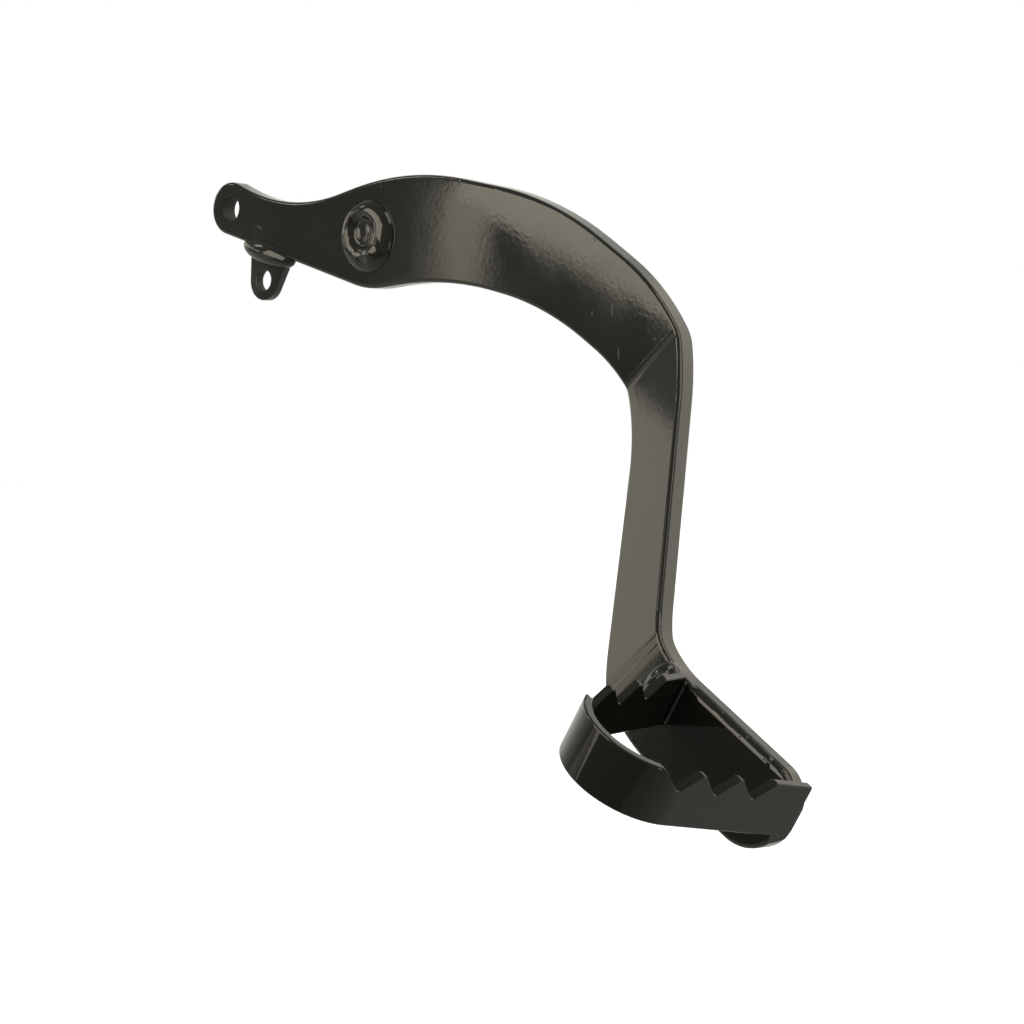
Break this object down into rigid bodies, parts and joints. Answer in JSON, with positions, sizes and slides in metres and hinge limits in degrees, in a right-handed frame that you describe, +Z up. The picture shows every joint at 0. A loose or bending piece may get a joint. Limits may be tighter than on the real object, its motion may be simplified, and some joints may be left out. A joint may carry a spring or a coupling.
{
  "type": "rear brake pedal",
  "caption": "Motorcycle rear brake pedal: curved, jogged plate arm with a welded pivot pin, push rod eye, spring tab and a serrated loop tread at the toe end.",
  "frame": {"origin": "on the pivot axis, at the inboard face of the arm where the pin's shoulder meets it", "axes": "+Y along the pivot pin, inboard; +X forward to the tread; +Z up"},
  "size_m": [0.3351, 0.1425, 0.0972],
  "materials": {
    "black_paint": "gloss black paint over steel",
    "bare_steel": "turned and plain"
  },
  "bodies": {
    "root": {"lever_arm": "black_paint", "pad_strap": "black_paint", "pivot_pin": "bare_steel", "pivot_weld": "black_paint", "spring_tab": "black_paint", "tab_weld": "black_paint", "rear_leg_weld": "black_paint", "rear_inner_weld": "black_paint", "front_leg_weld": "black_paint"}
  },
  "joints": []
}
